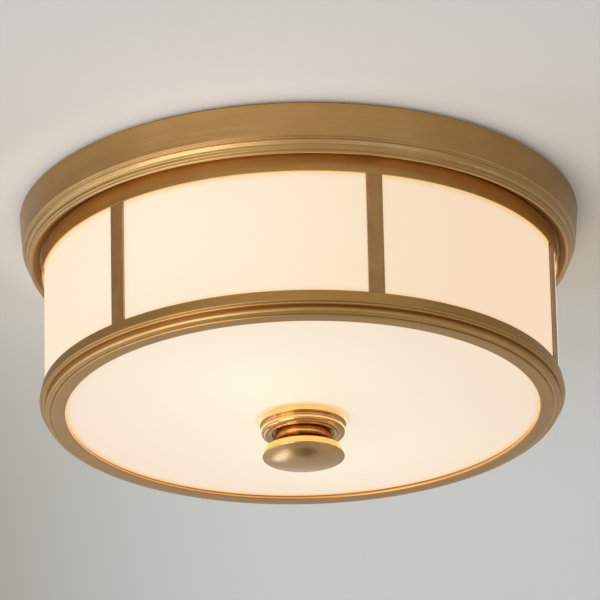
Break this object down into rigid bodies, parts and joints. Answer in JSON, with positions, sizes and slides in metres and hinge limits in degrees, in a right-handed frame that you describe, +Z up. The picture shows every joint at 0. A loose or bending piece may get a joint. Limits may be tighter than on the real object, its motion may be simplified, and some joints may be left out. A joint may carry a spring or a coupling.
{
  "type": "flush ceiling light",
  "caption": "Flush ceiling light: brass pan, opal glass drum in a brass cage of rings and straps, domed glass lens held by a finial, screw-in lamps inside.",
  "frame": {"origin": "centre of the ceiling plane, midway between the crossbar's two box slots", "axes": "+Z up into the ceiling; +X along the crossbar; the side seen in the picture faces -Y"},
  "size_m": [0.343, 0.343, 0.1618],
  "materials": {
    "pan_brass": "satin lacquered",
    "cage_brass": "brushed, lacquered",
    "finial_brass": "satin, turned",
    "opal_glass": "etched opal",
    "bulb_glass": "frosted",
    "steel": "zinc plated",
    "rod_steel": "yellow zinc plated",
    "shell_metal": "rolled",
    "cap_metal": "rolled",
    "contact_brass": "plain",
    "porcelain": "glazed",
    "insulation": "glass wool with a foil face",
    "gasket": "matt",
    "bushing_nylon": "moulded",
    "black_glass": "glassy insulator with a solder spot",
    "ground_green": "green dyed zinc"
  },
  "bodies": {
    "fixture": {"ceiling_pan": "pan_brass", "insulation_pad": "insulation", "crossbar": "steel", "ground_screw": "ground_green", "pan_screws": "steel", "pan_cap_nuts": "pan_brass", "lead_bushing": "bushing_nylon", "socket_bracket": "steel", "centre_rod": "rod_steel", "rod_nuts": "rod_steel", "rod_lock_washer": "steel", "holder_screws": "steel", "lampholder_1": "porcelain", "screw_shell_1": "shell_metal", "centre_contact_1": "contact_brass", "lampholder_2": "porcelain", "screw_shell_2": "shell_metal", "centre_contact_2": "contact_brass"},
    "shade": {"cage_upper_ring": "cage_brass", "cage_lower_ring": "cage_brass", "glass_drum": "opal_glass", "glass_lens": "opal_glass", "drum_gasket": "gasket", "lens_gasket": "gasket", "cage_strap_1": "cage_brass", "cage_strap_2": "cage_brass", "cage_strap_3": "cage_brass", "cage_strap_4": "cage_brass", "cage_strap_5": "cage_brass", "cage_strap_6": "cage_brass"},
    "finial_seat": {"finial_washer": "gasket", "finial_flange": "finial_brass"},
    "finial": {"finial_knob": "finial_brass"},
    "lamp_1_seat": {"lamp_eyelet_1": "black_glass"},
    "lamp_1": {"lamp_cap_1": "cap_metal", "lamp_bulb_1": "bulb_glass"},
    "lamp_2_seat": {"lamp_eyelet_2": "black_glass"},
    "lamp_2": {"lamp_cap_2": "cap_metal", "lamp_bulb_2": "bulb_glass"}
  },
  "joints": [
    {"name": "shade_lower", "type": "slide", "parent": "fixture", "child": "shade", "axis": [0, 0, -1], "range_m": [0, 0.12]},
    {"name": "finial_travel", "type": "slide", "parent": "shade", "child": "finial_seat", "axis": [0, 0, -1], "range_m": [0, 0.01035]},
    {"name": "finial_turn", "type": "hinge", "parent": "finial_seat", "child": "finial", "pos_m": [0, 0, -0.15], "axis": [0, 0, 1], "range_deg": [0, 3960]},
    {"name": "lamp_1_travel", "type": "slide", "parent": "fixture", "child": "lamp_1_seat", "axis": [0.3223, -0.9466, 0], "range_m": [0, 0.02358]},
    {"name": "lamp_1_turn", "type": "hinge", "parent": "lamp_1_seat", "child": "lamp_1", "pos_m": [0.03597, 0.01225, -0.07], "axis": [-0.3223, 0.9466, 0], "range_deg": [0, 2340]},
    {"name": "lamp_2_travel", "type": "slide", "parent": "fixture", "child": "lamp_2_seat", "axis": [-0.3223, 0.9466, 0], "range_m": [0, 0.02358]},
    {"name": "lamp_2_turn", "type": "hinge", "parent": "lamp_2_seat", "child": "lamp_2", "pos_m": [-0.03597, -0.01225, -0.07], "axis": [0.3223, -0.9466, 0], "range_deg": [0, 2340]}
  ],
  "couplings": [
    {"joint": "finial_turn", "follows": "finial_travel", "rad_per_m": 6677.1},
    {"joint": "lamp_1_turn", "follows": "lamp_1_travel", "rad_per_m": 1731.4},
    {"joint": "lamp_2_turn", "follows": "lamp_2_travel", "rad_per_m": 1731.4}
  ]
}
